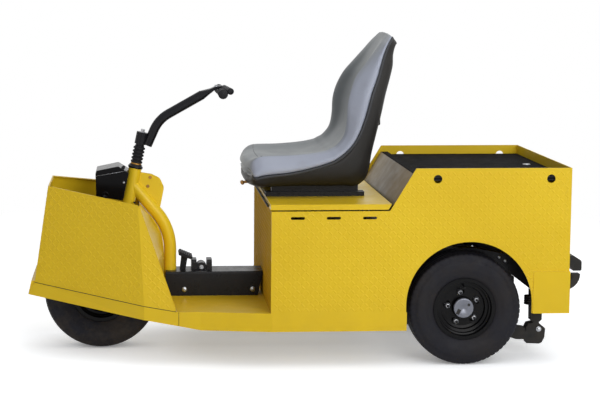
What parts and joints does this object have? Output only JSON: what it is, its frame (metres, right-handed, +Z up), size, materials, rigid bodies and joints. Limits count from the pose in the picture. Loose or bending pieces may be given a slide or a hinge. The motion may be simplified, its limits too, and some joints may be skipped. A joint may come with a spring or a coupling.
{
  "type": "airport baggage tug",
  "caption": "Small three-wheeled electric tow tug with tiller steering, bucket seat, wedge nose cowl, rear load bed and tow hitch.",
  "frame": {"origin": "on the floor, in the middle of the plan outline", "axes": "+Z up, the tug faces -Y with its left side on +X; length along Y"},
  "size_m": [0.762, 2.135, 1.2101],
  "materials": {
    "yellow_paint": "satin",
    "black_paint": "satin",
    "dark_steel": "matte",
    "bare_steel": "satin",
    "grey_sheet": "matte",
    "rubber_mat": "matte",
    "tyre": "matte",
    "rim_black": "gloss",
    "seat_shell": "matte",
    "seat_vinyl": "satin",
    "battery_case": "matte",
    "grip_rubber": "matte"
  },
  "bodies": {
    "chassis": {"floor": "yellow_paint", "sill_left": "yellow_paint", "sill_right": "yellow_paint", "side_left": "yellow_paint", "side_right": "yellow_paint", "seat_box_front": "yellow_paint", "rear_panel": "yellow_paint", "bumper": "yellow_paint", "cowl_left": "yellow_paint", "cowl_right": "yellow_paint", "cowl_front": "yellow_paint", "cowl_skirt": "yellow_paint", "firewall": "yellow_paint", "head_tube": "yellow_paint", "main_tube": "yellow_paint", "divider": "grey_sheet", "deck": "grey_sheet", "deck_mat": "rubber_mat", "rail_left": "black_paint", "rail_right": "black_paint", "control_box": "black_paint", "tunnel": "black_paint", "brake_pedal": "black_paint", "hitch_body": "black_paint", "drive_unit": "dark_steel", "spring_left": "dark_steel", "spring_right": "dark_steel", "battery": "battery_case"},
    "steering": {"fork": "black_paint", "steer_boot": "grip_rubber", "tiller_bar": "black_paint", "tiller_handle": "grip_rubber"},
    "front_wheel": {"front_tyre": "tyre", "front_rim": "rim_black"},
    "rear_wheel_left": {"rear_tyre_left": "tyre", "rear_rim_left": "rim_black"},
    "rear_wheel_right": {"rear_tyre_right": "tyre", "rear_rim_right": "rim_black"},
    "seat_lid": {"seat_lid": "yellow_paint", "seat_rail_left": "black_paint", "seat_rail_right": "black_paint"},
    "seat": {"seat_pan": "seat_shell", "seat_vinyl": "seat_vinyl", "seat_lever": "bare_steel"},
    "hitch_jaw": {"hitch_jaw": "dark_steel"}
  },
  "joints": [
    {"name": "steering_turn", "type": "hinge", "parent": "chassis", "child": "steering", "pos_m": [0, -0.6675, 0.689], "axis": [0, 0.2011, 0.9796], "range_deg": [-45, 45]},
    {"name": "front_wheel_spin", "type": "hinge", "parent": "steering", "child": "front_wheel", "pos_m": [0, -0.7975, 0.218], "axis": [1, 0, 0], "continuous": true},
    {"name": "rear_wheel_left_spin", "type": "hinge", "parent": "chassis", "child": "rear_wheel_left", "pos_m": [0.305, 0.5345, 0.2075], "axis": [1, 0, 0], "continuous": true},
    {"name": "rear_wheel_right_spin", "type": "hinge", "parent": "chassis", "child": "rear_wheel_right", "pos_m": [-0.305, 0.5345, 0.2075], "axis": [1, 0, 0], "continuous": true},
    {"name": "lid_hinge", "type": "hinge", "parent": "chassis", "child": "seat_lid", "pos_m": [0, -0.1875, 0.588], "axis": [1, 0, 0], "range_deg": [0, 35]},
    {"name": "seat_slide", "type": "slide", "parent": "seat_lid", "child": "seat", "axis": [0, 1, 0], "range_m": [-0.075, 0.075]},
    {"name": "hitch_latch", "type": "hinge", "parent": "chassis", "child": "hitch_jaw", "pos_m": [0, 0.9465, 0.322], "axis": [1, 0, 0], "range_deg": [0, 60]}
  ]
}
